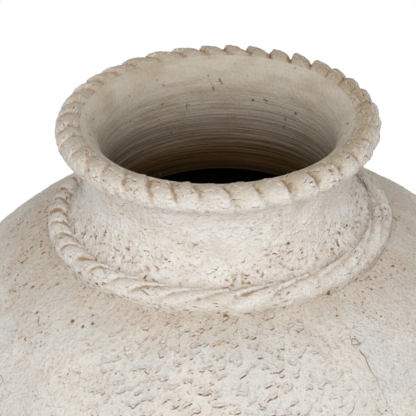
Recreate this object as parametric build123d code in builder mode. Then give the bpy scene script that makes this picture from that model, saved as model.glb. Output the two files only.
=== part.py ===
from build123d import *
import os
from math import atan2, cos, degrees, pi, radians, sin, sqrt

# A Greek pithos: a storage jar of thick fired clay, raised in drums on a flat slab.
# Each drum is luted to the one below on a bevelled joint. A collar and a drawn lip
# close the top, and twisted rope bands bind the neck joint and the rim.
# Sizes are millimetres. +Z is up, and the origin is the middle of the foot.

# Body: heights stack upwards from the foot, radii are outside
foot_radius = 165.0
belly_radius = 360.0
wall = 22.0
floor_thickness = 28.0
heel_bevel = 6.0
slab_edge_height = 38.0
foot_drum_height = 132.0
lower_drum_height = 150.0
belly_drum_height = 150.0
upper_drum_height = 142.0
shoulder_drum_height = 138.0
joint_rise = 9.0

# Neck and lip
throat_radius = 120.0
neck_wall = 18.5
neck_base_flare = 18.5
neck_waist_rise = 41.5
lip_flare_drop = 34.2
lip_joint_drop = 15.0

# Rope round the neck joint: a roll of clay pressed on a conical seat
neck_rope_run = 19.5
neck_rope_seat_rise = 18.5
neck_rope_bulge = 12.0
neck_rope_strands = 30
neck_rope_furrow = 4.4
neck_rope_lay = 18.0

# Rope round the rim: a thicker roll, seated on the bevelled top of the lip
rim_rope_rise = 55.5
rim_rope_overhang = 12.0
rim_rope_radius = 14.5
rim_seat_depth = 7.0
rim_seat_angle = 201.25
rim_rope_strands = 36
rim_rope_furrow = 5.0
rim_rope_lay = -12.0

# Both ropes: a strand's crest lies past its middle, by a share of half its width, so that
# strands overlap, and a furrow is shallower at the sides, by a share of its depth
strand_lean = 0.4
strand_side_share = 0.33
strand_sides = 12

# Heights of the joints and the two sweeps of the wall, above and below the belly
slab_joint = slab_edge_height
foot_joint = slab_joint + foot_drum_height
lower_joint = foot_joint + lower_drum_height
belly_height = lower_joint + belly_drum_height
upper_joint = belly_height + upper_drum_height
shoulder_height = upper_joint + shoulder_drum_height


def upright_sweep(run, rise):
    """Radius of an arc that starts upright and ends a run and a rise away."""
    return (run**2 + rise**2) / (2 * run)


waist_radius = throat_radius + neck_wall
neck_base_radius = waist_radius + neck_base_flare
shoulder_radius = neck_base_radius + neck_rope_run
foot_sweep = upright_sweep(belly_radius - foot_radius, belly_height)
shoulder_sweep = upright_sweep(belly_radius - shoulder_radius, shoulder_height - belly_height)


def wall_point(height, inset):
    """Point of the wall section at a height, set in from the outer face."""
    sweep = foot_sweep if height < belly_height else shoulder_sweep
    reach = sqrt((sweep - inset) ** 2 - (height - belly_height) ** 2)
    return (belly_radius - sweep + reach, height)


def wall_arc(bottom, top, inset):
    """Three points along the wall section, for its arc between two heights."""
    return [wall_point(height, inset) for height in (bottom, (bottom + top) / 2, top)]


# Points that neighbouring pieces share, as (radius, height)
shoulder_top = (shoulder_radius, shoulder_height)
neck_base = (neck_base_radius, shoulder_height + neck_rope_seat_rise)
rope_seat_middle = (
    (shoulder_top[0] + neck_base[0]) / 2,
    (shoulder_top[1] + neck_base[1]) / 2,
)
throat_arc_centre = belly_radius - shoulder_sweep
throat_foot_height = belly_height + sqrt(
    (shoulder_sweep - wall) ** 2 - (throat_radius - throat_arc_centre) ** 2
)
throat_foot = (throat_radius, throat_foot_height)
waist = (waist_radius, neck_base[1] + neck_waist_rise)

rim_centre = (waist_radius + rim_rope_overhang, waist[1] + rim_rope_rise)
seat_normal = (cos(radians(rim_seat_angle)), sin(radians(rim_seat_angle)))
seat_half_width = sqrt(rim_rope_radius**2 - rim_seat_depth**2)
seat_middle = (
    rim_centre[0] + rim_seat_depth * seat_normal[0],
    rim_centre[1] + rim_seat_depth * seat_normal[1],
)
seat_inner = (
    seat_middle[0] + seat_half_width * seat_normal[1],
    seat_middle[1] - seat_half_width * seat_normal[0],
)
seat_outer = (
    seat_middle[0] - seat_half_width * seat_normal[1],
    seat_middle[1] + seat_half_width * seat_normal[0],
)

flare_start = (throat_radius, seat_inner[1] - lip_flare_drop)
lip_joint = flare_start[1] - lip_joint_drop
flare_sweep = upright_sweep(seat_outer[0] - waist[0], seat_outer[1] - waist[1])


def neck_flare_point(height):
    """Point of the neck's outer face above its waist."""
    return (waist[0] + flare_sweep - sqrt(flare_sweep**2 - (height - waist[1]) ** 2), height)


def rope_strand(centre, radius, facing, lay, count, furrow):
    """One strand of a rope band, from the furrow before it to the furrow after it.

    The strand swells from furrow to crest and back, through flat-sided ovals whose planes
    slant so that it runs a distance lay along the rope in a quarter turn about it. A
    furrow is deepest on the facing side and leaves the seated side nearly full.
    """
    outward = Vector(cos(radians(facing)), 0, sin(radians(facing)))
    upward = Vector(-sin(radians(facing)), 0, cos(radians(facing)))
    normal = outward.cross(upward * radius + Vector(0, lay, 0))
    stretch = sqrt(radius**2 + lay**2) / radius
    half_pitch = 180 / count
    crest_turn = strand_lean * half_pitch
    corners = [2 * pi * (side + 0.5) / strand_sides for side in range(strand_sides)]
    with BuildPart() as strand:
        for turn, depth in ((-half_pitch, furrow), (crest_turn, 0), (half_pitch, furrow)):
            middle = Vector(centre[0], 0, centre[1]) - outward * (depth / 2)
            section = Plane(
                origin=middle.rotate(Axis.Z, turn),
                x_dir=outward.rotate(Axis.Z, turn),
                z_dir=normal.rotate(Axis.Z, turn),
            )
            with BuildSketch(section):
                reach = radius - depth / 2
                spread = (radius - depth * strand_side_share) * stretch
                Polygon(*[(reach * cos(t), spread * sin(t)) for t in corners], align=None)
        loft(ruled=True)
    return strand.part


def save(piece, label):
    """Label a finished piece and write its STEP file."""
    piece.label = label
    export_step(piece, f"parts/{label}.step")


os.makedirs("parts", exist_ok=True)

# Base slab: the floor of the jar, with a knife-cut heel and an edge turned up to the first drum
with BuildPart() as base_slab:
    with BuildSketch(Plane.XZ) as slab_section:
        with BuildLine():
            inner_top = slab_joint + joint_rise
            Line((0, 0), (foot_radius, 0))
            ThreePointArc(*wall_arc(0, slab_joint, 0))
            Line(wall_point(slab_joint, 0), wall_point(inner_top, wall))
            ThreePointArc(*wall_arc(inner_top, floor_thickness, wall))
            Line(wall_point(floor_thickness, wall), (0, floor_thickness))
            Line((0, floor_thickness), (0, 0))
        make_face()
        chamfer(slab_section.vertices().sort_by_distance((foot_radius, 0))[0], heel_bevel)
    revolve(axis=Axis.Z)
save(base_slab.part, "base_slab")

# Wall drums: rings of clay, each bevelled to centre on the one below
wall_drums = {
    "foot_drum": (slab_joint, foot_joint),
    "lower_drum": (foot_joint, lower_joint),
    "belly_drum": (lower_joint, belly_height),
    "upper_drum": (belly_height, upper_joint),
}
for label, (bottom, top) in wall_drums.items():
    with BuildPart() as drum:
        with BuildSketch(Plane.XZ):
            with BuildLine():
                ThreePointArc(*wall_arc(bottom, top, 0))
                Line(wall_point(top, 0), wall_point(top + joint_rise, wall))
                ThreePointArc(*wall_arc(top + joint_rise, bottom + joint_rise, wall))
                Line(wall_point(bottom + joint_rise, wall), wall_point(bottom, 0))
            make_face()
        revolve(axis=Axis.Z)
    save(drum.part, label)

# Shoulder drum: closes in to the throat, and carries the lower half of the neck rope's seat
with BuildPart() as shoulder_drum:
    with BuildSketch(Plane.XZ):
        with BuildLine():
            inner_bottom = upper_joint + joint_rise
            ThreePointArc(*wall_arc(upper_joint, shoulder_height, 0))
            Line(shoulder_top, rope_seat_middle)
            Line(rope_seat_middle, throat_foot)
            ThreePointArc(*wall_arc(throat_foot_height, inner_bottom, wall))
            Line(wall_point(inner_bottom, wall), wall_point(upper_joint, 0))
        make_face()
    revolve(axis=Axis.Z)
save(shoulder_drum.part, "shoulder_drum")

# Neck collar: a waisted ring that plugs into the shoulder, with a straight throat inside
with BuildPart() as neck_collar:
    with BuildSketch(Plane.XZ):
        with BuildLine():
            lip_joint_outer = neck_flare_point(lip_joint)
            Line(throat_foot, rope_seat_middle)
            Line(rope_seat_middle, neck_base)
            TangentArc(waist, neck_base, tangent=(0, -1))
            TangentArc(waist, lip_joint_outer, tangent=(0, 1))
            Line(lip_joint_outer, flare_start)
            Line(flare_start, throat_foot)
        make_face()
    revolve(axis=Axis.Z)
save(neck_collar.part, "neck_collar")

# Rim lip: a coil added on the collar and drawn out to carry the rim rope
with BuildPart() as rim_lip:
    with BuildSketch(Plane.XZ):
        with BuildLine():
            flare_middle = (lip_joint + seat_outer[1]) / 2
            Line(flare_start, lip_joint_outer)
            ThreePointArc(lip_joint_outer, neck_flare_point(flare_middle), seat_outer)
            Line(seat_outer, seat_inner)
            TangentArc(flare_start, seat_inner, tangent=(0, 1))
        make_face()
    revolve(axis=Axis.Z)
save(rim_lip.part, "rim_lip")

# Neck rope: a roll of clay over the neck joint, with long strands that rise to the right
seat_run = shoulder_top[0] - neck_base[0]
seat_rise = neck_base[1] - shoulder_top[1]
seat_length = sqrt(seat_run**2 + seat_rise**2)
neck_rope_radius = upright_sweep(neck_rope_bulge, seat_length / 2)
neck_rope_inset = neck_rope_radius - neck_rope_bulge
neck_rope_centre = (
    rope_seat_middle[0] - neck_rope_inset * seat_rise / seat_length,
    rope_seat_middle[1] - neck_rope_inset * seat_run / seat_length,
)
neck_strand = rope_strand(
    neck_rope_centre,
    neck_rope_radius,
    degrees(atan2(seat_run, seat_rise)),
    neck_rope_lay,
    neck_rope_strands,
    neck_rope_furrow,
)
with BuildPart() as neck_rope:
    with PolarLocations(0, neck_rope_strands):
        add(neck_strand)
    with BuildSketch(Plane.XZ):
        with BuildLine():
            shoulder_low = shoulder_height - neck_rope_radius
            reach = neck_rope_radius / seat_length
            seat_high = (neck_base[0] - reach * seat_run, neck_base[1] + reach * seat_rise)
            inside_low = (seat_high[0], shoulder_low)
            ThreePointArc(*wall_arc(shoulder_low, shoulder_height, 0))
            Polyline(shoulder_top, seat_high, inside_low, wall_point(shoulder_low, 0))
        make_face()
    revolve(axis=Axis.Z, mode=Mode.SUBTRACT)
save(neck_rope.part, "neck_rope")

# Rim rope: a round roll on the lip's bevel, with short strands twisted the other way
rim_strand = rope_strand(
    rim_centre,
    rim_rope_radius,
    rim_seat_angle - 180,
    rim_rope_lay,
    rim_rope_strands,
    rim_rope_furrow,
)
with BuildPart() as rim_rope:
    with PolarLocations(0, rim_rope_strands):
        add(rim_strand)
    with BuildSketch(Plane.XZ):
        with BuildLine():
            reach = 2 * rim_rope_radius
            seat_low = (
                seat_middle[0] - reach * seat_normal[1],
                seat_middle[1] + reach * seat_normal[0],
            )
            seat_high = (
                seat_middle[0] + reach * seat_normal[1],
                seat_middle[1] - reach * seat_normal[0],
            )
            Polyline(seat_low, seat_high, (seat_high[0], seat_low[1]), close=True)
        make_face()
    revolve(axis=Axis.Z, mode=Mode.SUBTRACT)
save(rim_rope.part, "rim_rope")
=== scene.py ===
import bpy
from math import acos, atan2, ceil, cos, degrees, hypot, pi, radians, sin, sqrt
from mathutils import Euler, Matrix, Vector
from mathutils.geometry import interpolate_bezier


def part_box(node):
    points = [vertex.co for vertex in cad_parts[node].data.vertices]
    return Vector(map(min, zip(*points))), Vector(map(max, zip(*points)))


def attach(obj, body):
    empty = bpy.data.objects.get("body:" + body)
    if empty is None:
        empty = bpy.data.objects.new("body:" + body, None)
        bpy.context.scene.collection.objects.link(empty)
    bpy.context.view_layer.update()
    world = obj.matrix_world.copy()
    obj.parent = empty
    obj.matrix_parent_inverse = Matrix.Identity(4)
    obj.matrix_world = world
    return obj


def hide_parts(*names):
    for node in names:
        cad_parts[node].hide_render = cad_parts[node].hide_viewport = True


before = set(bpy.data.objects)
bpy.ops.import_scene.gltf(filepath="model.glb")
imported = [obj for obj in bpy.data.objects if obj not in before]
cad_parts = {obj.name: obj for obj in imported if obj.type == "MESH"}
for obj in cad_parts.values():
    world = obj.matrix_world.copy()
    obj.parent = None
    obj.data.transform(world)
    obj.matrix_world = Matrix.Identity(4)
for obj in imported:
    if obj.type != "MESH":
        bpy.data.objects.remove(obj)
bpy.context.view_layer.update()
bpy.context.scene.view_settings.view_transform = "Standard"


# Base slab: the thick disc of clay that the jar was raised on, with its edge turned up to
# take the first drum and its heel cut with a knife. It stands bare and scuffed underneath,
# and the limewash of the wall runs down over its edge.
MM = 0.001
wall = 22 * MM
foot_radius = 165 * MM
floor_thickness = 28 * MM
heel_bevel = 6 * MM
shoulder_radius = 176.5 * MM
shoulder_height = 750 * MM
belly_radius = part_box("belly_drum")[1].x
belly_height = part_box("upper_drum")[0].z
slab_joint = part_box("foot_drum")[0].z
joint_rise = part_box("base_slab")[1].z - slab_joint
wall_columns = 960
wall_row = 5 * MM
hidden_row = 22 * MM


def upright_sweep(run, rise):
    """Radius of an arc that starts upright and ends a run and a rise away."""
    return (run**2 + rise**2) / (2 * run)


foot_sweep = upright_sweep(belly_radius - foot_radius, belly_height)
shoulder_sweep = upright_sweep(belly_radius - shoulder_radius, shoulder_height - belly_height)


def wall_run(bottom, top, inset, row, side=1):
    """Profile points up the wall between two heights, set in from its outer face.

    Side is 1 for the washed outer face and -1 for the bare inner face.
    """
    rows = max(1, ceil((top - bottom) / row))
    run = []
    for i in range(rows + 1):
        rise = bottom + (top - bottom) * i / rows - belly_height
        sweep = foot_sweep if rise < 0 else shoulder_sweep
        reach = sqrt((sweep - inset) ** 2 - rise**2)
        run.append({
            "at": Vector((belly_radius - sweep + reach, 0, belly_height + rise)),
            "out": Vector((reach, 0, rise)).normalized() * side,
            "climb": sweep * atan2(rise, reach),
            "wash": max(0.0, side),
            "corner": 1.0 if i in (0, rows) else 0.0,
        })
    return run


def joined(start, end, row):
    """Profile points strictly between two others, a row apart."""
    rows = max(1, ceil((end["at"] - start["at"]).length / row))
    return [{
        "at": start["at"].lerp(end["at"], i / rows),
        "out": start["out"].lerp(end["out"], i / rows),
        "wash": start["wash"] + (end["wash"] - start["wash"]) * i / rows,
    } for i in range(1, rows)]


def corner_point(radius, height, out, wash):
    """Profile point at a sharp corner."""
    return {"at": Vector((radius, 0, height)), "out": Vector(out), "wash": wash, "corner": 1.0}


def add(tree, kind, sockets=None, **settings):
    """Add a node with its settings. Each socket named is linked to a node or a socket, or set."""
    made = tree.nodes.new(kind)
    for name, value in settings.items():
        setattr(made, name, value)
    for name, value in (sockets or {}).items():
        if isinstance(value, bpy.types.Node):
            value = next(socket for socket in value.outputs if socket.enabled)
        if isinstance(value, bpy.types.NodeSocket):
            tree.links.new(value, made.inputs[name])
        else:
            made.inputs[name].default_value = value
    return made


def swells(tree, place, size, depth):
    """Soft swells about a size across, up to a depth each way."""
    noise = add(tree, "ShaderNodeTexNoise", {"Vector": place, "Scale": 1 / size, "Detail": 2.0})
    return add(tree, "ShaderNodeMapRange", {
        "Value": noise, "From Min": 0.25, "From Max": 0.75, "To Min": -depth, "To Max": depth,
    }, clamp=False)


def patches(tree, place, size, detail, low, high, least=0.0, most=1.0):
    """Patches about a size across, from least where their noise is low to most where it is high."""
    noise = add(tree, "ShaderNodeTexNoise", {"Vector": place, "Scale": 1 / size, "Detail": detail})
    return add(tree, "ShaderNodeMapRange", {
        "Value": noise, "From Min": low, "From Max": high, "To Min": least, "To Max": most,
    })


def outward(tree, place):
    """Level unit vector from the jar's axis towards a place."""
    flat = add(tree, "ShaderNodeVectorMath", {0: place, 1: (1, 1, 0)}, operation="MULTIPLY")
    return add(tree, "ShaderNodeVectorMath", {0: flat}, operation="NORMALIZE")


def brushed_way(tree, place, climb, along, up, lean=(0.0, 0.0)):
    """Coordinates of a pattern drawn round the jar, with marks of a length along and a width up.

    Lean is how steeply the marks rise to the right, at the front and at the left.
    """
    girth = 250 * MM
    flat = outward(tree, place)
    shift = add(tree, "ShaderNodeVectorMath", {
        0: flat, 1: (girth * lean[0], -girth * lean[1], 0),
    }, operation="DOT_PRODUCT")
    rise = add(tree, "ShaderNodeMath", {0: climb, 1: shift}, operation="SUBTRACT")
    rise = add(tree, "ShaderNodeMath", {0: rise, 1: 1 / up}, operation="MULTIPLY")
    rise = add(tree, "ShaderNodeCombineXYZ", {"Z": rise})
    return add(tree, "ShaderNodeVectorMath", {
        0: flat, 1: (girth / along, girth / along, 0), 2: rise,
    }, operation="MULTIPLY_ADD")


def pushed_flakes(tree, place, climb, along, up, lean=(0.0, 0.0)):
    """Flakes that a brush or a hand pushed up in a wet coat, about a length along and a width up apart.

    Gives their height, 0 to 1, steep at the lower edge and sloping away above it, and the soil
    under that edge with its painted shade, 0 to 1.
    """
    sag_share = 0.8
    bead_size = 5 * MM
    behind_step = -0.5 * up
    above_step = 0.22 * up
    sloping = (0.38, 0.76)
    steep = (0.5, 0.64)
    raised = []
    for step, (first, last) in ((behind_step, sloping), (0.0, steep), (above_step, steep)):
        level = add(tree, "ShaderNodeMath", {0: climb, 1: step}, operation="ADD")
        way = brushed_way(tree, place, level, along, up, lean)
        sag = patches(tree, way, 1.0, 0.0, 0.0, 1.0, -sag_share, sag_share)
        sag = add(tree, "ShaderNodeCombineXYZ", {"Z": sag})
        way = add(tree, "ShaderNodeVectorMath", {0: way, 1: sag}, operation="ADD")
        coat = add(tree, "ShaderNodeTexNoise", {"Vector": way, "Scale": 1.0, "Detail": 3.0})
        raised.append(add(tree, "ShaderNodeMapRange", {
            "Value": coat, "From Min": first, "From Max": last,
        }, interpolation_type="SMOOTHSTEP"))
    behind, here, above = raised
    fall = add(tree, "ShaderNodeMath", {0: 1.0, 1: behind}, operation="SUBTRACT")
    flakes = add(tree, "ShaderNodeMath", {0: here, 1: fall}, operation="MULTIPLY")
    # Soil under each flake's lower edge, darkened further as the edge's painted shade.
    edge = add(tree, "ShaderNodeMath", {0: above, 1: here}, operation="SUBTRACT")
    edge = add(tree, "ShaderNodeMapRange", {"Value": edge, "From Min": 0.12, "From Max": 0.6})
    beads = patches(tree, place, bead_size, 3.0, 0.42, 0.58, least=0.25)
    return flakes, add(tree, "ShaderNodeMath", {0: edge, 1: beads}, operation="MULTIPLY")


def hairline_crack(tree, place):
    """Fine crack down the right of the shoulder, from a small ring-shaped pit: 0 to 1."""
    bearing = radians(-55.4)
    half_width = 0.8 * MM
    ring_radius = 3.5 * MM
    ring_line = 1.2 * MM
    ring_depth = 0.8
    ring_reach = 226 * MM
    ring_place = Vector((ring_reach * cos(bearing), ring_reach * sin(bearing), 722 * MM))
    crack_top = 718 * MM
    crack_wide = 698 * MM
    crack_foot = 640 * MM
    off = add(tree, "ShaderNodeVectorMath", {
        0: place, 1: (-sin(bearing), cos(bearing), 0),
    }, operation="DOT_PRODUCT")
    off = add(tree, "ShaderNodeMath", {0: off, 1: swells(tree, place, 15 * MM, 1.5 * MM)}, operation="ADD")
    off = add(tree, "ShaderNodeMath", {0: off}, operation="ABSOLUTE")
    line = add(tree, "ShaderNodeMapRange", {"Value": off, "From Min": half_width, "From Max": 0.0})
    height = add(tree, "ShaderNodeSeparateXYZ", {0: place}).outputs["Z"]
    begun = add(tree, "ShaderNodeMath", {0: height, 1: crack_top}, operation="LESS_THAN")
    fading = add(tree, "ShaderNodeMapRange", {
        "Value": height, "From Min": crack_foot, "From Max": crack_wide, "To Max": 0.4,
    })
    open_end = add(tree, "ShaderNodeMapRange", {
        "Value": height, "From Min": crack_wide, "From Max": crack_top, "To Max": 0.6,
    })
    wide = add(tree, "ShaderNodeMath", {0: fading, 1: open_end}, operation="ADD")
    facing = add(tree, "ShaderNodeVectorMath", {
        0: place, 1: (cos(bearing), sin(bearing), 0),
    }, operation="DOT_PRODUCT")
    facing = add(tree, "ShaderNodeMath", {0: facing, 1: 0.0}, operation="GREATER_THAN")
    for share in (begun, wide, facing):
        line = add(tree, "ShaderNodeMath", {0: line, 1: share}, operation="MULTIPLY")
    away = add(tree, "ShaderNodeVectorMath", {0: place, 1: ring_place}, operation="DISTANCE")
    away = add(tree, "ShaderNodeMath", {0: away, 1: swells(tree, place, 4 * MM, 2 * MM)}, operation="ADD")
    away = add(tree, "ShaderNodeMath", {0: away, 1: ring_radius}, operation="SUBTRACT")
    away = add(tree, "ShaderNodeMath", {0: away}, operation="ABSOLUTE")
    ring = add(tree, "ShaderNodeMapRange", {
        "Value": away, "From Min": ring_line, "From Max": 0.0, "To Max": ring_depth,
    })
    return add(tree, "ShaderNodeMath", {0: line, 1: ring}, operation="MAXIMUM")


def thinned(tree, pattern, limits):
    """Pattern made less where a value is low: each limit is a value, its low, its high and the least left."""
    for value, low, high, least in limits:
        share = add(tree, "ShaderNodeMapRange", {
            "Value": value, "From Min": low, "From Max": high, "To Min": least,
        })
        pattern = add(tree, "ShaderNodeMath", {0: pattern, 1: share}, operation="MULTIPLY")
    return pattern


def dragged_wash(tree, place, climb):
    """Flakes of wash that rise to the right over the shoulder, most soiled at the front.

    On the left of the jar the grit fell out instead and left round pits. Gives the height,
    -1 to 1, and the soil with painted shade under the flake edges, 0 to 1.
    """
    stroke_length = 9 * MM
    stroke_width = 6.5 * MM
    stroke_lean = (0.35, 0.7)
    most_soiled_way = (-0.03, -1, 0)
    worn_below = 600 * MM
    worn_by = 480 * MM
    pit_gap = 9 * MM
    pit_reach = 0.4
    pitted_from = 708 * MM
    pitted_by = 728 * MM
    flakes, soil_and_shade = pushed_flakes(tree, place, climb, stroke_length, stroke_width, stroke_lean)
    flat = outward(tree, place)
    side = add(tree, "ShaderNodeSeparateXYZ", {0: flat}).outputs["X"]
    left = add(tree, "ShaderNodeMapRange", {
        "Value": side, "From Min": -0.4, "From Max": -0.75,
    }, interpolation_type="SMOOTHSTEP")
    ahead = add(tree, "ShaderNodeVectorMath", {0: flat, 1: most_soiled_way}, operation="DOT_PRODUCT")
    level = add(tree, "ShaderNodeSeparateXYZ", {0: place}).outputs["Z"]
    soil_and_shade = thinned(tree, soil_and_shade, ((ahead, 0.84, 0.985, 0.3), (level, worn_by, worn_below, 0.4)))
    height = thinned(tree, flakes, ((ahead, 0.75, 0.985, 0.4),))

    cells = add(tree, "ShaderNodeTexVoronoi", {"Vector": place, "Scale": 1 / pit_gap})
    chance = add(tree, "ShaderNodeSeparateXYZ", {0: cells.outputs["Color"]}).outputs
    reach = add(tree, "ShaderNodeMapRange", {
        "Value": chance["X"], "To Min": pit_reach * 0.5, "To Max": pit_reach,
    })
    reach = add(tree, "ShaderNodeMath", {0: reach, 1: left}, operation="MULTIPLY")
    brink = add(tree, "ShaderNodeMath", {0: reach, 1: 0.35}, operation="MULTIPLY")
    pits = add(tree, "ShaderNodeMapRange", {
        "Value": cells.outputs["Distance"], "From Min": reach, "From Max": brink,
    }, interpolation_type="SMOOTHSTEP")
    pits = thinned(tree, pits, ((chance["Y"], 0.4, 0.8, 0.0), (level, pitted_from, pitted_by, 0.2)))
    pits = add(tree, "ShaderNodeMath", {0: pits, 1: hairline_crack(tree, place)}, operation="MAXIMUM")
    height = add(tree, "ShaderNodeMath", {0: height, 1: pits}, operation="SUBTRACT")
    soil_and_shade = add(tree, "ShaderNodeMath", {0: soil_and_shade, 1: pits}, operation="MAXIMUM")
    return height, soil_and_shade


def wash_relief(tree, kept, given):
    """Height of a washed wall above its plain turned form, in metres, and no soil of its own."""
    place = kept["place"]
    height = swells(tree, place, 140 * MM, 1.6 * MM)
    for size, depth in ((34 * MM, 0.9 * MM), (11 * MM, 0.4 * MM)):
        swell = swells(tree, place, size, depth)
        height = add(tree, "ShaderNodeMath", {0: height, 1: swell}, operation="ADD")
    flakes = dragged_wash(tree, place, kept["climb"])[0]
    height = add(tree, "ShaderNodeMath", {
        0: flakes, 1: given["Flake height"], 2: height,
    }, operation="MULTIPLY_ADD")
    return add(tree, "ShaderNodeMath", {0: height, 1: kept["wash"]}, operation="MULTIPLY"), 0.0


PROFILE_LAYERS = {
    "at": "FLOAT_VECTOR", "out": "FLOAT_VECTOR", "climb": "FLOAT", "wash": "FLOAT", "grime": "FLOAT",
    "flecked": "FLOAT", "corner": "FLOAT", "lay": "FLOAT", "press": "FLOAT", "smooth": "FLOAT",
    "rubbed": "FLOAT",
}


def turning_tree(name, relief, sizes):
    """Tree that turns a profile about the upright axis, closes the seam and lays a relief on it.

    Sizes name the inputs that the relief takes.
    """
    tree = bpy.data.node_groups.new(name, "GeometryNodeTree")
    kinds = {"Profile": "Geometry", "Rows": "Int", "Columns": "Int", "Finish": "Material"}
    kinds.update(dict.fromkeys(sizes, "Float"))
    for label, kind in kinds.items():
        tree.interface.new_socket(label, in_out="INPUT", socket_type="NodeSocket" + kind)
    tree.interface.new_socket("Piece", in_out="OUTPUT", socket_type="NodeSocketGeometry")
    given = add(tree, "NodeGroupInput").outputs
    rows = add(tree, "ShaderNodeMath", {0: given["Rows"], 1: 1.0}, operation="ADD")
    columns = add(tree, "ShaderNodeMath", {0: given["Columns"], 1: 1.0}, operation="ADD")
    piece = add(tree, "GeometryNodeMeshGrid", {
        "Size X": 1.0, "Size Y": 1.0, "Vertices X": columns, "Vertices Y": rows,
    }).outputs["Mesh"]
    spot = add(tree, "GeometryNodeInputPosition")
    share = add(tree, "ShaderNodeVectorMath", {0: spot, 1: (0.5, 0.5, 0.0)}, operation="ADD")
    share = add(tree, "ShaderNodeSeparateXYZ", {0: share}).outputs
    turn = add(tree, "ShaderNodeMath", {0: share["X"], 1: 2 * pi}, operation="MULTIPLY")
    row = add(tree, "ShaderNodeMath", {0: share["Y"], 1: given["Rows"]}, operation="MULTIPLY")
    row = add(tree, "ShaderNodeMath", {0: row}, operation="ROUND")
    row = add(tree, "ShaderNodeMath", {0: row, 1: given["Rows"]}, operation="FLOORED_MODULO")
    laid = {"turn": ("FLOAT", turn)}
    for label, kind in PROFILE_LAYERS.items():
        value = add(tree, "GeometryNodeInputNamedAttribute", {"Name": label}, data_type=kind)
        value = add(tree, "GeometryNodeSampleIndex", {
            "Geometry": given["Profile"], "Value": value, "Index": row,
        }, data_type=kind)
        if kind == "FLOAT_VECTOR":
            value = add(tree, "ShaderNodeVectorRotate", {
                "Vector": value, "Angle": turn,
            }, rotation_type="Z_AXIS")
        laid["place" if label == "at" else label] = (kind, value)
    kept = {}
    for label, (kind, value) in laid.items():
        piece = add(tree, "GeometryNodeStoreNamedAttribute", {
            "Geometry": piece, "Name": label, "Value": value,
        }, data_type=kind, domain="POINT")
        kept[label] = add(tree, "GeometryNodeInputNamedAttribute", {"Name": label}, data_type=kind)
    seam = 0.01 * MM
    piece = add(tree, "GeometryNodeSetPosition", {"Geometry": piece, "Position": kept["place"]})
    piece = add(tree, "GeometryNodeMergeByDistance", {"Geometry": piece, "Distance": seam})
    height, soil_and_shade = relief(tree, kept, given)
    piece = add(tree, "GeometryNodeStoreNamedAttribute", {
        "Geometry": piece, "Name": "soil_and_shade", "Value": soil_and_shade,
    }, data_type="FLOAT", domain="POINT")
    offset = add(tree, "ShaderNodeVectorMath", {0: kept["out"], "Scale": height}, operation="SCALE")
    piece = add(tree, "GeometryNodeSetPosition", {"Geometry": piece, "Offset": offset})
    piece = add(tree, "GeometryNodeSetShadeSmooth", {0: piece, "Shade Smooth": True}, domain="FACE")
    sharp = add(tree, "FunctionNodeCompare", {0: kept["corner"], 1: 0.99}, operation="GREATER_THAN")
    piece = add(tree, "GeometryNodeSetShadeSmooth", {
        0: piece, "Selection": sharp, "Shade Smooth": False,
    }, domain="EDGE")
    piece = add(tree, "GeometryNodeRealizeInstances", {"Geometry": piece})
    piece = add(tree, "GeometryNodeSetMaterial", {"Geometry": piece, "Material": given["Finish"]})
    add(tree, "NodeGroupOutput", {"Piece": piece})
    return tree


def turn_piece(name, profile, tree, sizes, columns, finish, node):
    """Make a piece from its profile, as a plain mesh in its place, hung under the root body, and hide the
    part of its node.
    """
    climbed = 0.0
    for before, point in zip([profile[0]] + profile, profile):
        climbed += (point["at"] - before["at"]).length
        point.setdefault("climb", climbed)
    mesh = bpy.data.meshes.new(name)
    mesh.from_pydata([point["at"] for point in profile], [], [])
    for label, kind in PROFILE_LAYERS.items():
        layer = mesh.attributes.new(label, kind, "POINT")
        for item, point in zip(layer.data, profile):
            setattr(item, "vector" if kind == "FLOAT_VECTOR" else "value", point.get(label, 0.0))
    piece = bpy.data.objects.new(name, mesh)
    bpy.context.scene.collection.objects.link(piece)
    turning = piece.modifiers.new("turning", "NODES")
    turning.node_group = tree
    values = {"Rows": len(profile), "Columns": columns, "Finish": finish, **sizes}
    for socket in tree.interface.items_tree:
        if socket.name in values:
            turning[socket.identifier] = values[socket.name]
    graph = bpy.context.evaluated_depsgraph_get()
    piece.data = bpy.data.meshes.new_from_object(
        piece.evaluated_get(graph), preserve_all_data_layers=True, depsgraph=graph
    )
    piece.modifiers.remove(turning)
    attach(piece, "root")
    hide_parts(node)
    return piece


def linear(code):
    """Linear colour of an sRGB hex code."""
    parts = [int(code[i : i + 2], 16) / 255 for i in (1, 3, 5)]
    return tuple(c / 12.92 if c <= 0.04045 else ((c + 0.055) / 1.055) ** 2.4 for c in parts) + (1.0,)


def layered(tree, code, layers):
    """Colour that others are laid over in turn.

    Each layer is a value, where the layer starts, where it is at its most, that most and its colour.
    """
    colour = linear(code)
    for value, start, end, most, code in layers:
        amount = add(tree, "ShaderNodeMapRange", {
            "Value": value, "From Min": start, "From Max": end, "To Max": most,
        })
        colour = add(tree, "ShaderNodeMix", {0: amount, 6: colour, 7: linear(code)}, data_type="RGBA")
    return colour


def matte_finish(name, roughness, gloss):
    """New material with a matte shader: the material, its tree and the shader."""
    finish = bpy.data.materials.new(name)
    finish.use_nodes = True
    shader = finish.node_tree.nodes["Principled BSDF"]
    shader.inputs["Roughness"].default_value = roughness
    shader.inputs["Specular IOR Level"].default_value = gloss
    return finish, finish.node_tree, shader


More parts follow.
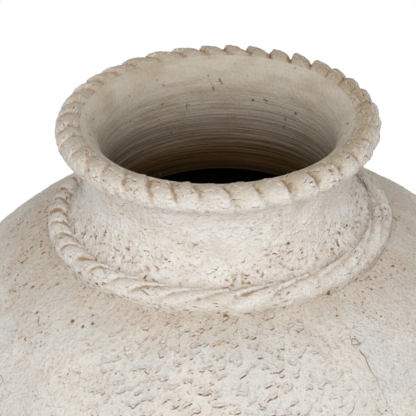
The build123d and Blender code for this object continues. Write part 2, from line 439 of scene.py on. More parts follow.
def soil_flecks(tree, place, grains, more, halo=0.12):
    """Soil where the grains run high, thick in drifts and where there is more of it.

    Gives a soft stain, wider with a wider halo, and the flecks within it, both 0 to 1.
    """
    drift_size = 40 * MM
    rare = 0.76
    common = 0.62
    drift = add(tree, "ShaderNodeTexNoise", {"Vector": place, "Scale": 1 / drift_size, "Detail": 2.0})
    drift = add(tree, "ShaderNodeMath", {0: drift, 1: more}, operation="ADD")
    bar = add(tree, "ShaderNodeMapRange", {
        "Value": drift, "From Min": 0.45, "From Max": 0.75, "To Min": rare, "To Max": common,
    })
    over = add(tree, "ShaderNodeMath", {0: grains, 1: bar}, operation="SUBTRACT")
    stain = add(tree, "ShaderNodeMapRange", {"Value": over, "From Min": -halo, "From Max": 0.0})
    flecks = add(tree, "ShaderNodeMapRange", {"Value": over, "From Min": -0.02, "From Max": 0.06})
    return stain, flecks


# Limewash brushed over low-fired clay: chalky grey-white, with a beige film of soil near the
# ropes and brown soil in every stroke and pit. The soil under each raised flake and in the
# grit's hollows is darkened further as painted shade, and the flakes are whitened as a
# painted highlight. Inside, the clay is left dark.
lime_warm = "#E5E0D8"
lime_cool = "#DEDDD9"
lime_flake_highlight = "#EBE8E3"
film_beige = "#CCBCAA"
pore_shade = "#B49C80"
stroke_tan_and_shade = "#C4A789"
stroke_soil_and_shade = "#845A32"
stain_tan = "#C9AE8F"
fleck_brown = "#8A6038"
inner_clay = "#4A3A2A"
cloud_size = 55 * MM
grit_size = 3.5 * MM
fleck_size = 3.4 * MM
film_from = 714 * MM
film_to = 758 * MM
film_drop_aside = 16 * MM
chalk_roughness = 0.93
chalk_gloss = 0.2
limewash, tree, shader = matte_finish("limewashed_terracotta", chalk_roughness, chalk_gloss)
place = add(tree, "ShaderNodeAttribute", attribute_name="place").outputs["Vector"]
wash = add(tree, "ShaderNodeAttribute", attribute_name="wash").outputs["Fac"]
climb = add(tree, "ShaderNodeAttribute", attribute_name="climb").outputs["Fac"]
spot = add(tree, "ShaderNodeSeparateXYZ", {0: place}).outputs
sideways = spot["X"]
height = spot["Z"]
cool = patches(tree, place, cloud_size, 4.0, 0.4, 0.6)
aside = add(tree, "ShaderNodeMath", {0: sideways}, operation="ABSOLUTE")
aside = add(tree, "ShaderNodeMapRange", {
    "Value": aside, "From Min": 130 * MM, "From Max": 200 * MM, "To Max": film_drop_aside,
})
film = add(tree, "ShaderNodeMath", {0: height, 1: aside}, operation="ADD")
film = add(tree, "ShaderNodeMapRange", {
    "Value": film, "From Min": film_from, "From Max": film_to, "To Max": 0.66,
}, interpolation_type="SMOOTHSTEP")
film = add(tree, "ShaderNodeMath", {
    0: film, 1: swells(tree, place, 26 * MM, 0.25),
}, operation="ADD", use_clamp=True)
grit = add(tree, "ShaderNodeTexNoise", {
    "Vector": place, "Scale": 1 / grit_size, "Detail": 3.0, "Roughness": 0.65,
})
flakes, held = dragged_wash(tree, place, climb)
grains = add(tree, "ShaderNodeTexNoise", {"Vector": place, "Scale": 1 / fleck_size, "Detail": 2.0})
soiled = add(tree, "ShaderNodeMath", {0: film, 1: 2.0}, operation="POWER")
more = add(tree, "ShaderNodeMapRange", {
    "Value": sideways, "From Min": 150 * MM, "From Max": -220 * MM, "To Min": 0.22, "To Max": 0.46,
})
soiled = add(tree, "ShaderNodeMath", {0: soiled, 1: more}, operation="MULTIPLY")
corner = add(tree, "ShaderNodeMapRange", {
    "Value": height, "From Min": 736 * MM, "From Max": 748 * MM, "To Max": 0.1,
})
soiled = add(tree, "ShaderNodeMath", {0: soiled, 1: corner}, operation="ADD")
stain, flecks = soil_flecks(tree, place, grains, soiled)
colour = layered(tree, lime_warm, (
    (cool, 0.0, 1.0, 1.0, lime_cool),
    (film, 0.0, 1.0, 1.0, film_beige),
    # Grit hollows take soil in the pores and painted shade.
    (grit, 0.45, 0.3, 0.35, pore_shade),
    # Raised flakes are whitened: part lime, part painted highlight.
    (flakes, 0.0, 1.0, 0.6, lime_flake_highlight),
    # Soil held under the flake edges: brown soil with painted shade.
    (held, 0.0, 0.4, 0.7, stroke_tan_and_shade),
    (held, 0.4, 1.0, 0.9, stroke_soil_and_shade),
    (stain, 0.0, 1.0, 0.5, stain_tan),
    (flecks, 0.0, 1.0, 1.0, fleck_brown),
))
colour = add(tree, "ShaderNodeMix", {0: wash, 6: linear(inner_clay), 7: colour}, data_type="RGBA")
tree.links.new(colour.outputs[2], shader.inputs["Base Color"])
laid = add(tree, "ShaderNodeMath", {0: flakes, 1: 0.4, 2: grit}, operation="MULTIPLY_ADD")
bump = add(tree, "ShaderNodeBump", {"Height": laid, "Strength": 1.0, "Distance": 3.0 * MM})
tree.links.new(bump.outputs[0], shader.inputs["Normal"])

wash_sizes = {"Flake height": 2.0 * MM}
wash_tree = turning_tree("washed_turning", wash_relief, wash_sizes)
under = corner_point(0.0, 0.0, (0, 0, -1), 0.0)
heel = corner_point(foot_radius - heel_bevel, 0.0, (0, 0, -1), 0.0)
edge = wall_run(heel_bevel, slab_joint, 0, wall_row)
cup = wall_run(floor_thickness, slab_joint + joint_rise, wall, wall_row, -1)[::-1]
floor_middle = corner_point(0.0, floor_thickness, (0, 0, 1), 0.0)
slab_profile = [under] + joined(under, heel, hidden_row) + [heel] + joined(heel, edge[0], wall_row)
slab_profile += edge + joined(edge[-1], cup[0], hidden_row) + cup
slab_profile += joined(cup[-1], floor_middle, hidden_row) + [floor_middle]
turn_piece(
    "base_slab_clay", slab_profile, wash_tree, wash_sizes, wall_columns, limewash,
    "base_slab",
)


# Wall drums: four rings of coiled clay, each left to stiffen, bevelled and luted to the one
# below, then beaten and brushed over with the same wash so that no joint shows.
foot_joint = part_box("lower_drum")[0].z
lower_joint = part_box("belly_drum")[0].z
upper_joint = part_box("shoulder_drum")[0].z


def closed(*runs):
    """Profile of runs, each joined to the next one and the last one to the first."""
    profile = []
    for run, after in zip(runs, runs[1:] + runs[:1]):
        profile += run + joined(run[-1], after[0], hidden_row)
    return profile


wall_drums = {
    "foot_drum": (slab_joint, foot_joint),
    "lower_drum": (foot_joint, lower_joint),
    "belly_drum": (lower_joint, belly_height),
    "upper_drum": (belly_height, upper_joint),
}
for node, (bottom, top) in wall_drums.items():
    outer = wall_run(bottom, top, 0, wall_row)
    inner = wall_run(bottom + joint_rise, top + joint_rise, wall, hidden_row, -1)[::-1]
    turn_piece(
        node + "_wall", closed(outer, inner), wash_tree, wash_sizes, wall_columns, limewash,
        node,
    )


# Shoulder drum: the last ring of the body, closed in by hand to the throat. Its top carries
# the neck, and its outer face is the most brushed and dragged part of the wash.
shoulder_row = 1.6 * MM
neck_base_radius = 157 * MM
seat_rise = 18.5 * MM
throat_radius = 120 * MM
seat_middle = ((shoulder_radius + neck_base_radius) / 2, shoulder_height + seat_rise / 2)
throat_foot_height = belly_height + sqrt(
    (shoulder_sweep - wall) ** 2 - (throat_radius - belly_radius + shoulder_sweep) ** 2
)
outer = wall_run(upper_joint, shoulder_height, 0, shoulder_row)
inner = wall_run(upper_joint + joint_rise, throat_foot_height, wall, hidden_row, -1)[::-1]
rope_seat = corner_point(*seat_middle, (0, 0, 1), 0.0)
shoulder_profile = closed(outer, [rope_seat], inner)
turn_piece(
    "shoulder_drum_wall", shoulder_profile, wash_tree, wash_sizes, wall_columns, limewash,
    "shoulder_drum",
)


# Neck collar: a waisted ring thrown on the wheel and plugged into the shoulder. Its throat
# keeps the wheel's lines, and its outside was daubed with thick slip and scratched.
neck_columns = 720
neck_row = 1.6 * MM
neck_base = (neck_base_radius, shoulder_height + seat_rise)
waist = (138.5 * MM, 810 * MM)
rim_centre = (150.5 * MM, 865.5 * MM)
rim_rope_radius = 14.5 * MM
rim_seat_depth = 7.0 * MM
rim_seat_angle = radians(201.25)
lip_flare_drop = 34.2 * MM
lip_joint_drop = 15 * MM
daub_length = 12 * MM
daub_width = 5 * MM
flecked_up_to = 30 * MM
soiled_up_to = 6 * MM
soiled_patch = Vector((150, -30, 790)) * MM
seat_half = sqrt(rim_rope_radius**2 - rim_seat_depth**2)
seat_normal = (cos(rim_seat_angle), sin(rim_seat_angle))
seat_core = tuple(c + rim_seat_depth * n for c, n in zip(rim_centre, seat_normal))
seat_inner = (seat_core[0] + seat_half * seat_normal[1], seat_core[1] - seat_half * seat_normal[0])
seat_outer = (seat_core[0] - seat_half * seat_normal[1], seat_core[1] + seat_half * seat_normal[0])
flare_start = (throat_radius, seat_inner[1] - lip_flare_drop)
lip_joint = flare_start[1] - lip_joint_drop


def flared_run(start, end, low, high, side):
    """Profile points between two heights on the arc that leaves start upright and reaches end."""
    sweep = upright_sweep(end[0] - start[0], end[1] - start[1])
    rows = max(1, ceil((high - low) / neck_row))
    run = []
    for i in range(rows + 1):
        rise = low + (high - low) * i / rows - start[1]
        reach = sqrt(sweep**2 - rise**2)
        run.append({
            "at": Vector((start[0] + sweep - reach, 0, start[1] + rise)),
            "out": Vector((reach, 0, -rise)).normalized() * side,
            "climb": start[1] + rise,
            "wash": max(0.0, side),
            "corner": 1.0 if i in (0, rows) else 0.0,
        })
    return run


def eased(value, low, high):
    """Smooth step from 0 at low to 1 at high."""
    share = min(1.0, max(0.0, (value - low) / (high - low)))
    return share * share * (3 - 2 * share)


def wheel_lines(tree, place, gap):
    """Level lines scored by the wheel on bare clay, a gap apart: about -1 to 1."""
    line_length = 150 * MM
    drawn = add(tree, "ShaderNodeVectorMath", {
        0: place, 1: (1 / line_length, 1 / line_length, 1 / gap),
    }, operation="MULTIPLY")
    return patches(tree, drawn, 1.0, 2.0, 0.34, 0.66, -1.0, 1.0)


def daubed_relief(tree, kept, given):
    """Height of daubed slip outside and of wheel lines inside, in metres, and no soil of its own."""
    place = kept["place"]
    smear = add(tree, "ShaderNodeVectorMath", {0: place, 1: (1.0, 1.0, 0.3)}, operation="MULTIPLY")
    outside = pushed_flakes(tree, place, kept["climb"], daub_length, daub_width)[0]
    outside = add(tree, "ShaderNodeMath", {
        0: outside, 1: given["Daub height"], 2: swells(tree, smear, 6 * MM, 0.4 * MM),
    }, operation="MULTIPLY_ADD")
    for size, depth in ((30 * MM, 0.9 * MM), (10 * MM, 0.7 * MM)):
        swell = swells(tree, place, size, depth)
        outside = add(tree, "ShaderNodeMath", {0: outside, 1: swell}, operation="ADD")
    lines = wheel_lines(tree, place, 6 * MM)
    inside = add(tree, "ShaderNodeMath", {0: lines, 1: given["Line depth"]}, operation="MULTIPLY")
    return add(tree, "ShaderNodeMix", {0: kept["wash"], 2: inside, 3: outside}, data_type="FLOAT"), 0.0


# Lime slip daubed thick over clay: brighter and rougher than the brushed wash, with brown
# specks and scratches, and bare clay, darker with depth and ringed by the wheel, inside. The
# soil under its flakes, in its grit and in the ropes' hollows is darkened further as painted
# shade, and its raised flakes are whitened as a painted highlight.
slip_white = "#F5F2ED"
slip_warm = "#E8DED2"
slip_flake_highlight = "#F6F4F0"
grime_beige = "#A89374"
slip_pore_shade = "#C8AC8B"
slip_tan_and_shade = "#CDB191"
slip_soil_and_shade = "#946639"
hand_rubbed = "#D9C4A6"
nick_brown = "#6A5540"
grit_grey = "#8C7C68"
clay_by_depth = ((0.0, "#C9C0B1"), (0.25, "#C3B8A8"), (0.55, "#908272"), (0.82, "#523B1C"), (1.0, "#2E1C09"))
cloud_size = 28 * MM
grit_size = 3 * MM
fleck_length = 9 * MM
fleck_width = 3.4 * MM
fleck_halo = 0.14
drift_size = 25 * MM
scratch_bend = 24 * MM
scratch_gap = 17 * MM
ring_gap = 1.8 * MM
rubbed_size = 45 * MM
nick_size = 7 * MM
side_light_half = 150 * MM
slip, tree, shader = matte_finish("daubed_lime_slip", chalk_roughness, chalk_gloss)
place = add(tree, "ShaderNodeAttribute", attribute_name="place").outputs["Vector"]
wash, soil_and_shade, grime, climb, flecked = (
    add(tree, "ShaderNodeAttribute", attribute_name=label).outputs["Fac"]
    for label in ("wash", "soil_and_shade", "grime", "climb", "flecked")
)
spot = add(tree, "ShaderNodeSeparateXYZ", {0: place}).outputs
sideways = spot["X"]
height = spot["Z"]
warm = patches(tree, place, cloud_size, 4.0, 0.4, 0.7)
# Grime is thinned on the left and thickened on the right: painted light on the left of the neck and ropes,
# painted shade on the right.
side_light_factor = add(tree, "ShaderNodeMapRange", {
    "Value": sideways, "From Min": -side_light_half, "From Max": side_light_half,
    "To Min": 0.72, "To Max": 1.08,
})
grime = add(tree, "ShaderNodeMath", {0: grime, 1: side_light_factor}, operation="MULTIPLY", use_clamp=True)
grit = add(tree, "ShaderNodeTexNoise", {
    "Vector": place, "Scale": 1 / grit_size, "Detail": 3.0, "Roughness": 0.65,
})
flakes, edges = pushed_flakes(tree, place, climb, daub_length, daub_width)
way = brushed_way(tree, place, climb, fleck_length, fleck_width)
grains = add(tree, "ShaderNodeTexNoise", {"Vector": way, "Scale": 1.0, "Detail": 4.0, "Roughness": 0.6})
aside = add(tree, "ShaderNodeMath", {0: sideways}, operation="ABSOLUTE")
aside = add(tree, "ShaderNodeMapRange", {
    "Value": aside, "From Min": 95 * MM, "From Max": 145 * MM, "To Min": 1.0, "To Max": 1.6,
})
flecked = add(tree, "ShaderNodeMath", {0: flecked, 1: aside}, operation="MULTIPLY")
patch = add(tree, "ShaderNodeVectorMath", {0: place, 1: soiled_patch}, operation="DISTANCE")
patch = add(tree, "ShaderNodeMapRange", {
    "Value": patch, "From Min": 50 * MM, "From Max": 10 * MM, "To Max": 0.3,
})
flecked = add(tree, "ShaderNodeMath", {0: flecked, 1: patch}, operation="ADD")
stain, flecks = soil_flecks(tree, place, grains, flecked, fleck_halo)
drift = patches(tree, place, drift_size, 2.0, 0.38, 0.6, least=0.25)
edges = add(tree, "ShaderNodeMath", {0: edges, 1: drift}, operation="MULTIPLY")
scratch = add(tree, "ShaderNodeTexNoise", {"Vector": place, "Scale": 1 / scratch_bend, "Detail": 3.0})
scratch = add(tree, "ShaderNodeMath", {0: scratch, 1: 0.5}, operation="SUBTRACT")
scratch = add(tree, "ShaderNodeMath", {0: scratch}, operation="ABSOLUTE")
scratch = add(tree, "ShaderNodeMapRange", {"Value": scratch, "From Min": 0.012, "From Max": 0.0})
scratched = patches(tree, place, scratch_gap, 1.0, 0.52, 0.66)
scratch = add(tree, "ShaderNodeMath", {0: scratch, 1: scratched}, operation="MULTIPLY")
# Tan soil in the rope hollows and under flake edges, with painted shade there, and tan stains and scratches.
tan_and_shade = soil_and_shade
for mark in (stain, edges, scratch):
    tan_and_shade = add(tree, "ShaderNodeMath", {0: tan_and_shade, 1: mark}, operation="MAXIMUM")
# Dark soil under flake edges, in the rope hollows and in flecks, with painted shade under the edges and in
# the hollows.
dirt_and_shade = add(tree, "ShaderNodeMapRange", {"Value": edges, "From Min": 0.45, "From Max": 1.0})
line = add(tree, "ShaderNodeMapRange", {"Value": soil_and_shade, "From Min": 0.55, "From Max": 1.0, "To Max": 0.5})
for mark in (line, flecks):
    dirt_and_shade = add(tree, "ShaderNodeMath", {0: dirt_and_shade, 1: mark}, operation="MAXIMUM")
dirt_and_shade = add(tree, "ShaderNodeMath", {0: dirt_and_shade, 1: wash}, operation="MULTIPLY")
colour = layered(tree, slip_white, (
    (warm, 0.0, 1.0, 1.0, slip_warm),
    (grime, 0.0, 1.0, 1.0, grime_beige),
    # Grit hollows take soil in the pores and painted shade.
    (grit, 0.44, 0.3, 0.3, slip_pore_shade),
    # Raised flakes are whitened: part lime, part painted highlight.
    (flakes, 0.0, 1.0, 0.5, slip_flake_highlight),
    (tan_and_shade, 0.0, 1.0, 0.65, slip_tan_and_shade),
    (dirt_and_shade, 0.0, 1.0, 1.0, slip_soil_and_shade),
))

depth = add(tree, "ShaderNodeMapRange", {
    "Value": height, "From Min": seat_inner[1], "From Max": throat_foot_height,
})
bare = add(tree, "ShaderNodeValToRGB", {0: depth})
for spot, code in clay_by_depth[1:-1]:
    bare.color_ramp.elements.new(spot)
for stop, (spot, code) in zip(bare.color_ramp.elements, clay_by_depth):
    stop.position = spot
    stop.color = linear(code)
lines = wheel_lines(tree, place, ring_gap)
ringed = add(tree, "ShaderNodeMapRange", {
    "Value": depth, "From Min": 0.15, "From Max": 0.8, "To Min": 0.03, "To Max": 0.5,
})
shade = add(tree, "ShaderNodeMath", {0: lines, 1: ringed, 2: 1.0}, operation="MULTIPLY_ADD")
hand = add(tree, "ShaderNodeVectorMath", {0: place, 1: (1.0, 1.0, 3.0)}, operation="MULTIPLY")
rubbed = patches(tree, hand, rubbed_size, 3.0, 0.45, 0.65, most=0.45)
chips = add(tree, "ShaderNodeTexNoise", {"Vector": place, "Scale": 1 / nick_size, "Detail": 2.0})
chips = soil_flecks(tree, place, chips, 0.1)[1]
nicks = add(tree, "ShaderNodeMath", {0: chips, 1: ringed}, operation="SUBTRACT", use_clamp=True)
grey = add(tree, "ShaderNodeMapRange", {"Value": grit, "From Min": 0.5, "From Max": 0.34, "To Max": 0.12})
for amount, tint, blend in (
    (1.0, shade, "MULTIPLY"), (rubbed, linear(hand_rubbed), "MULTIPLY"),
    (nicks, linear(nick_brown), "MIX"), (grey, linear(grit_grey), "MULTIPLY"),
):
    bare = add(tree, "ShaderNodeMix", {0: amount, 6: bare, 7: tint}, data_type="RGBA", blend_type=blend)
colour = add(tree, "ShaderNodeMix", {0: wash, 6: bare, 7: colour}, data_type="RGBA")
tree.links.new(colour.outputs[2], shader.inputs["Base Color"])
scored = lines
for share in (ringed, 0.15):
    scored = add(tree, "ShaderNodeMath", {0: scored, 1: share}, operation="MULTIPLY")
scored = add(tree, "ShaderNodeMath", {0: grit, 1: 0.35, 2: scored}, operation="MULTIPLY_ADD")
grain = add(tree, "ShaderNodeMix", {0: wash, 2: scored, 3: grit}, data_type="FLOAT")
grain = add(tree, "ShaderNodeMath", {0: dirt_and_shade, 1: -0.2, 2: grain}, operation="MULTIPLY_ADD")
bump = add(tree, "ShaderNodeBump", {"Height": grain, "Strength": 1.0, "Distance": 4.0 * MM})
tree.links.new(bump.outputs[0], shader.inputs["Normal"])

daub_sizes = {"Daub height": 1.1 * MM, "Line depth": 0.2 * MM}
neck_tree = turning_tree("daubed_turning", daubed_relief, daub_sizes)
lower_neck = flared_run(waist, neck_base, neck_base[1], waist[1], 1)
lower_neck[-1]["corner"] = 0.0
upper_neck = flared_run(waist, seat_outer, waist[1], lip_joint, 1)[1:]
throat_top = corner_point(*flare_start, (-1, 0, 0), 0.0)
throat_foot = corner_point(throat_radius, throat_foot_height, (-1, 0, 0), 0.0)
for point in lower_neck + upper_neck:
    rise = point["at"].z - neck_base[1]
    point["flecked"] = 0.2 - 0.14 * min(1.0, rise / flecked_up_to)
    point["grime"] = 0.35 * (1 - eased(rise, 0.0, soiled_up_to))
plug = corner_point(*seat_middle, (1, 0, 0), 1.0)
throat = [throat_top] + joined(throat_top, throat_foot, neck_row) + [throat_foot]
neck_profile = closed([plug], lower_neck + upper_neck, throat)
turn_piece(
    "neck_collar_wall", neck_profile, neck_tree, daub_sizes, neck_columns, slip,
    "neck_collar",
)


# Rim lip: a coil added on the collar and drawn outwards with a wet hand, which left its
# inner face smooth and nearly free of wash. The rim rope lies on its bevelled top.
lip_outer = flared_run(waist, seat_outer, lip_joint, seat_outer[1], 1)
lip_inner = flared_run(flare_start, seat_inner, flare_start[1], seat_inner[1], -1)[::-1]
turn_piece(
    "rim_lip_wall", closed(lip_outer, lip_inner), neck_tree, daub_sizes, neck_columns, slip,
    "rim_lip",
)


# Neck rope: a roll of clay pressed over the neck joint and drawn with a finger into long
# strands that rise to the right. Each strand lies over the end of the one before it, and
# their lower ends are wiped into the shoulder.
def rope_run(centre, radius, first, last, rows):
    """Profile points round a rope's section between two section angles in degrees."""
    run = []
    for i in range(rows + 1):
        angle = radians(first + (last - first) * i / rows)
        out = Vector((cos(angle), 0, sin(angle)))
        run.append({
            "at": Vector((centre[0], 0, centre[1])) + radius * out,
            "out": out,
            "wash": 1.0,
        })
    return run


def wiped(start, end, pull, rows):
    """Profile points on the curve that leaves one point and meets another along their faces."""
    ways = [Vector((-point["out"].z, 0, point["out"].x)) for point in (start, end)]
    line = interpolate_bezier(
        start["at"], start["at"] + pull * ways[0], end["at"] - pull * ways[1], end["at"], rows + 1
    )
    return [{
        "at": spot,
        "out": start["out"].slerp(end["out"], i / rows),
        "wash": 1.0,
    } for i, spot in enumerate(line)]


def rope_relief(tree, kept, given):
    """Relief of a rope band: strands that swell out of a hollow and end in a steep edge.

    Left and right are the sides of the ring. Fullness is how soon a strand swells, slant is
    the share of its slant that it keeps, deeper is how much deeper the furrows get that way,
    edge start is where across a strand its steep edge starts, finer left is how much narrower
    the strands are there, and soil and shade is how much soil their hollows hold, darkened
    further there as painted shade.
    """
    place = kept["place"]
    spot = add(tree, "ShaderNodeSeparateXYZ", {0: place}).outputs
    side = add(tree, "ShaderNodeMath", {0: spot["X"], 1: given["Ring radius"]}, operation="DIVIDE")
    back = add(tree, "ShaderNodeMath", {0: spot["Y"], 1: given["Ring radius"]}, operation="DIVIDE")
    lay = kept["lay"]
    for far, label in ((-1.0, "Slant left"), (1.0, "Slant right")):
        slant = add(tree, "ShaderNodeMapRange", {
            "Value": side, "From Min": 0.3 * far, "From Max": far, "To Min": 1.0, "To Max": given[label],
        })
        lay = add(tree, "ShaderNodeMath", {0: lay, 1: slant}, operation="MULTIPLY")
    wander = swells(tree, place, 70 * MM, 0.16)
    ragged = swells(tree, place, 13 * MM, 0.07)
    wander = add(tree, "ShaderNodeMath", {0: wander, 1: ragged}, operation="ADD")
    crowd = add(tree, "ShaderNodeMath", {0: kept["turn"]}, operation="SINE")
    crowd = add(tree, "ShaderNodeMath", {0: crowd, 1: given["Finer left"]}, operation="MULTIPLY")
    crowd = add(tree, "ShaderNodeMath", {0: kept["turn"], 1: crowd}, operation="SUBTRACT")
    pitch = add(tree, "ShaderNodeMath", {0: given["Strands"], 1: 2 * pi}, operation="DIVIDE")
    phase = add(tree, "ShaderNodeMath", {0: crowd, 1: pitch, 2: wander}, operation="MULTIPLY_ADD")
    phase = add(tree, "ShaderNodeMath", {0: phase, 1: lay}, operation="SUBTRACT")
    across = add(tree, "ShaderNodeMath", {0: phase}, operation="FRACT")
    strand = add(tree, "ShaderNodeMath", {0: phase}, operation="FLOOR")
    strand = add(tree, "ShaderNodeMath", {0: strand, 1: given["Strands"]}, operation="FLOORED_MODULO")
    chance = add(tree, "ShaderNodeTexWhiteNoise", {"W": strand}, noise_dimensions="1D").outputs["Value"]
    edge = add(tree, "ShaderNodeMapRange", {
        "Value": across, "From Min": 1.0, "From Max": given["Edge start"],
    }, interpolation_type="SMOOTHSTEP")
    soon = add(tree, "ShaderNodeMapRange", {
        "Value": side, "From Min": -1.0, "To Min": given["Fullness left"], "To Max": given["Fullness right"],
    })
    swell = add(tree, "ShaderNodeMath", {0: 1.0, 1: across}, operation="SUBTRACT")
    swell = add(tree, "ShaderNodeMath", {0: swell, 1: soon}, operation="POWER")
    swell = add(tree, "ShaderNodeMath", {0: 1.0, 1: swell}, operation="SUBTRACT")
    full = add(tree, "ShaderNodeMath", {0: edge, 1: swell}, operation="MULTIPLY")
    hollow = add(tree, "ShaderNodeMath", {0: 1.0, 1: full}, operation="SUBTRACT")
    deep = add(tree, "ShaderNodeMapRange", {"Value": chance, "To Min": 0.7, "To Max": 1.2})
    deep = add(tree, "ShaderNodeMath", {0: deep, 1: kept["press"]}, operation="MULTIPLY")
    held = add(tree, "ShaderNodeMath", {0: hollow, 1: deep}, operation="MULTIPLY")
    lean = add(tree, "ShaderNodeMath", {0: back, 1: given["Deeper back"]}, operation="MULTIPLY")
    lean = add(tree, "ShaderNodeMath", {
        0: side, 1: given["Deeper right"], 2: lean,
    }, operation="MULTIPLY_ADD")
    deep = add(tree, "ShaderNodeMath", {0: lean, 1: deep, 2: deep}, operation="MULTIPLY_ADD")
    for label, first, last, least in (("smooth", -0.5, 0.3, 0.3), ("rubbed", -0.35, -0.8, 0.0)):
        gone = add(tree, "ShaderNodeMapRange", {
            "Value": side, "From Min": first, "From Max": last, "To Min": least,
        })
        gone = add(tree, "ShaderNodeMath", {0: gone, 1: kept[label]}, operation="MULTIPLY")
        left = add(tree, "ShaderNodeMath", {0: 1.0, 1: gone}, operation="SUBTRACT")
        deep = add(tree, "ShaderNodeMath", {0: deep, 1: left}, operation="MULTIPLY")
    for share in (deep, given["Furrow"]):
        hollow = add(tree, "ShaderNodeMath", {0: hollow, 1: share}, operation="MULTIPLY")
    rough = swells(tree, place, 9 * MM, 0.6 * MM)
    flakes = pushed_flakes(tree, place, kept["climb"], daub_length, daub_width)[0]
    rough = add(tree, "ShaderNodeMath", {
        0: flakes, 1: given["Daub height"], 2: rough,
    }, operation="MULTIPLY_ADD")
    rough = add(tree, "ShaderNodeMath", {0: rough, 1: kept["wash"]}, operation="MULTIPLY")
    height = add(tree, "ShaderNodeMath", {0: rough, 1: hollow}, operation="SUBTRACT")
    # Soil in the strand hollows, darkened further there as painted shade.
    soil_and_shade = add(tree, "ShaderNodeMapRange", {"Value": held, "From Min": 0.2, "From Max": 1.0})
    most = add(tree, "ShaderNodeMapRange", {
        "Value": side, "From Min": -1.0, "To Min": given["Soil and shade left"], "To Max": given["Soil and shade right"],
    })
    patchy = swells(tree, place, 10 * MM, 0.8)
    most = add(tree, "ShaderNodeMath", {0: most, 1: patchy, 2: most}, operation="MULTIPLY_ADD")
    soil_and_shade = add(tree, "ShaderNodeMath", {0: soil_and_shade, 1: most}, operation="MULTIPLY", use_clamp=True)
    return height, soil_and_shade


neck_strands = 30
strand_columns = 34
neck_rope_bulge = 12 * MM
sunk_edge = 8
wiped_drop = 4.5 * MM
wiped_sink = 2.0 * MM
wiped_pull = 5 * MM
wiped_up_to = 15
wiped_rows = 14
drawn_rows = 38
neck_rope_sizes = {
    "Strands": float(neck_strands), "Ring radius": shoulder_radius, "Furrow": 3.2 * MM,
    "Daub height": 0.7 * MM, "Edge start": 0.8, "Finer left": 0.5, "Fullness left": 2.2,
    "Fullness right": 1.8, "Slant left": 0.25, "Slant right": 1.0, "Deeper right": 0.42,
    "Deeper back": 0.0, "Soil and shade left": 1.15, "Soil and shade right": 0.6,
}
rope_tree = turning_tree("rope_turning", rope_relief, neck_rope_sizes)
seat_run = shoulder_radius - neck_base_radius
seat_length = hypot(seat_run, seat_rise)
neck_rope_radius = upright_sweep(neck_rope_bulge, seat_length / 2)
neck_rope_inset = neck_rope_radius - neck_rope_bulge
neck_facing = atan2(seat_run, seat_rise)
neck_rope_centre = (
    seat_middle[0] - neck_rope_inset * cos(neck_facing),
    seat_middle[1] - neck_rope_inset * sin(neck_facing),
)
drawn_to = degrees(neck_facing) + degrees(acos(neck_rope_inset / neck_rope_radius)) + sunk_edge
drawn_run = rope_run(neck_rope_centre, neck_rope_radius, wiped_up_to, drawn_to, drawn_rows)
wiped_on = wall_run(shoulder_height - wiped_drop, shoulder_height, wiped_sink, wiped_drop)[0]
neck_rope_profile = wiped(wiped_on, drawn_run[0], wiped_pull, wiped_rows)[:-1] + drawn_run
for i, point in enumerate(neck_rope_profile):
    share = i / (len(neck_rope_profile) - 1)
    point["lay"] = 1.8 * share**2.2
    point["press"] = eased(share, 0.1, 0.45)
    point["grime"] = 0.05 + 0.4 * (1 - eased(share, 0.1, 0.3)) + 0.2 * eased(share, 0.8, 1.0)
    point["flecked"] = 0.06 + 0.36 * (1 - eased(share, 0.05, 0.3)) + 0.12 * eased(share, 0.75, 1.0)
turn_piece(
    "neck_rope_band", neck_rope_profile, rope_tree, neck_rope_sizes, neck_strands * strand_columns, slip,
    "neck_rope",
)


# Rim rope: a thicker roll laid on the lip and pinched into short strands that slope the other
# way. The pinches die out on the inner side, where a wet hand smoothed the lip, and below,
# where the roll was wiped onto the lip's outside.
rim_strands = 36
pinch_columns = 28
smoothed_from = 28
smoothed_onto = 6 * MM
smoothed_pull = 4 * MM
smoothed_rows = 10
tucked_up_to = 40
tucked_onto = 9 * MM
tucked_pull = 5 * MM
tucked_rows = 12
pinched_rows = 40
edge_sink = 1.0 * MM
rim_rope_sizes = {
    "Strands": float(rim_strands), "Ring radius": rim_centre[0] + rim_rope_radius, "Furrow": 6.2 * MM,
    "Daub height": 0.7 * MM, "Edge start": 0.84, "Finer left": 0.04, "Fullness left": 2.2,
    "Fullness right": 3.6, "Slant left": 0.5, "Slant right": 0.4, "Deeper right": 0.42,
    "Deeper back": 0.1, "Soil and shade left": 0.9, "Soil and shade right": 1.5,
}
seat_span = degrees(acos(rim_seat_depth / rim_rope_radius))
pinched_from = degrees(rim_seat_angle) - 360 + seat_span + tucked_up_to
pinched_to = degrees(rim_seat_angle) - seat_span - smoothed_from
pinched_run = rope_run(rim_centre, rim_rope_radius, pinched_from, pinched_to, pinched_rows)
tucked_on = flared_run(waist, seat_outer, seat_outer[1] - tucked_onto, seat_outer[1], 1)[0]
smoothed_on = flared_run(flare_start, seat_inner, seat_inner[1] - smoothed_onto, seat_inner[1], -1)[0]
for point in (tucked_on, smoothed_on):
    point["at"] -= edge_sink * point["out"]
rim_rope_profile = wiped(tucked_on, pinched_run[0], tucked_pull, tucked_rows)[:-1] + pinched_run
rim_rope_profile += wiped(pinched_run[-1], smoothed_on, smoothed_pull, smoothed_rows)[1:]
for i, point in enumerate(rim_rope_profile):
    share = i / (len(rim_rope_profile) - 1)
    point["lay"] = -0.5 * share - 0.5 * share**3
    point["press"] = eased(share, 0.0, 0.2) * (0.3 + 0.7 * eased(share, 0.2, 0.6))
    point["smooth"] = eased(share, 0.8, 1.0)
    point["rubbed"] = 0.8 * (1 - eased(share, 0.42, 0.66))
    point["grime"] = 0.05 + 0.75 * eased(share, 0.4, 0.8)
    point["flecked"] = 0.1
    point["wash"] = 1 - eased(share, 0.8, 1.0)
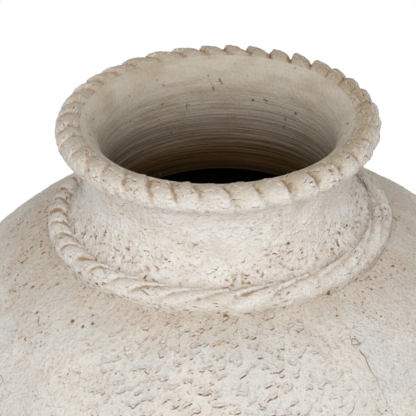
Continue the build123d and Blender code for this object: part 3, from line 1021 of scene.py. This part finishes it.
turn_piece(
    "rim_rope_band", rim_rope_profile, rope_tree, rim_rope_sizes, rim_strands * pinch_columns, slip,
    "rim_rope",
)


# Floor and light: a white floor that keeps the jar's shadow near the foot and turns plain
# white further out, a wide soft lamp from above the front and a pale sky.
floor_half = 12.0
shadow_reach = 0.6
white_reach = 1.05
sky_light = 0.55
key_place = Vector((-0.1, -2.5, 2.5))
key_aim = Vector((0, 0, 0.75))


def shown_rays(tree):
    """1 for the rays of the camera, of gloss and through glass, and 0 for the light's own."""
    ray = add(tree, "ShaderNodeLightPath").outputs
    seen = add(tree, "ShaderNodeMath", {0: ray["Is Camera Ray"], 1: ray["Is Glossy Ray"]}, operation="ADD")
    return add(tree, "ShaderNodeMath", {
        0: seen, 1: ray["Is Transmission Ray"],
    }, operation="ADD", use_clamp=True)


floor_mesh = bpy.data.meshes.new("studio_floor")
corners = [(x * floor_half, y * floor_half, 0.0) for x, y in ((-1, -1), (1, -1), (1, 1), (-1, 1))]
floor_mesh.from_pydata(corners, [], [(0, 1, 2, 3)])
studio_floor = bpy.data.objects.new("studio_floor", floor_mesh)
bpy.context.scene.collection.objects.link(studio_floor)
# Matte white board: it takes a soft shadow and has no gloss.
board_roughness = 0.9
board_gloss = 0.0
floor_finish, tree, matte = matte_finish("pale_studio_floor", board_roughness, board_gloss)
matte.inputs["Base Color"].default_value = linear("#F4F3F1")
ground = add(tree, "ShaderNodeTexCoord").outputs["Object"]
away = add(tree, "ShaderNodeVectorMath", {0: ground}, operation="LENGTH")
plain = add(tree, "ShaderNodeMapRange", {
    "Value": away, "From Min": shadow_reach, "From Max": white_reach,
}, interpolation_type="SMOOTHSTEP")
shown = add(tree, "ShaderNodeMath", {0: plain, 1: shown_rays(tree)}, operation="MULTIPLY")
white = add(tree, "ShaderNodeEmission", {"Color": (1, 1, 1, 1), "Strength": 1.0})
ground_mix = add(tree, "ShaderNodeMixShader", {0: shown, 1: matte, 2: white})
tree.links.new(ground_mix.outputs[0], tree.nodes["Material Output"].inputs["Surface"])
floor_mesh.materials.append(floor_finish)

sky = bpy.data.worlds.new("studio_sky")
bpy.context.scene.world = sky
sky.use_nodes = True
tree = sky.node_tree
strength = add(tree, "ShaderNodeMapRange", {"Value": shown_rays(tree), "To Min": sky_light, "To Max": 1.0})
background = tree.nodes["Background"]
background.inputs["Color"].default_value = (1, 1, 1, 1)
tree.links.new(strength.outputs[0], background.inputs["Strength"])

key_lamp = bpy.data.lights.new("key_softbox", "AREA")
key_lamp.energy = 54.0
key_lamp.shape = "DISK"
key_lamp.size = 2.4
key = bpy.data.objects.new("key_softbox", key_lamp)
key.location = key_place
key.rotation_euler = (key_aim - key_place).to_track_quat("-Z", "Y").to_euler()
bpy.context.scene.collection.objects.link(key)


# Camera: at a standing person's eye, looking down on the mouth and shoulder. It is turned a
# little off the rim's middle, as the photograph is framed.
view_distance = 1.8
view_rise = radians(28.017)
view_drop = radians(2.724)
view_left = radians(0.372)
view_roll = radians(-1.117)
aim = Vector((0, 0, rim_centre[1]))
camera = bpy.data.objects.new("camera", bpy.data.cameras.new("camera"))
camera.data.sensor_width = 36.0
camera.data.lens = 153.334
turn = Euler((pi / 2 - view_rise - view_drop, 0, 0)).to_matrix()
turn = turn @ Matrix.Rotation(view_left, 3, "Y") @ Matrix.Rotation(view_roll, 3, "Z")
camera.matrix_world = Matrix.Translation(
    aim + view_distance * Vector((0, -cos(view_rise), sin(view_rise)))
) @ turn.to_4x4()
bpy.context.scene.collection.objects.link(camera)
bpy.context.scene.camera = camera
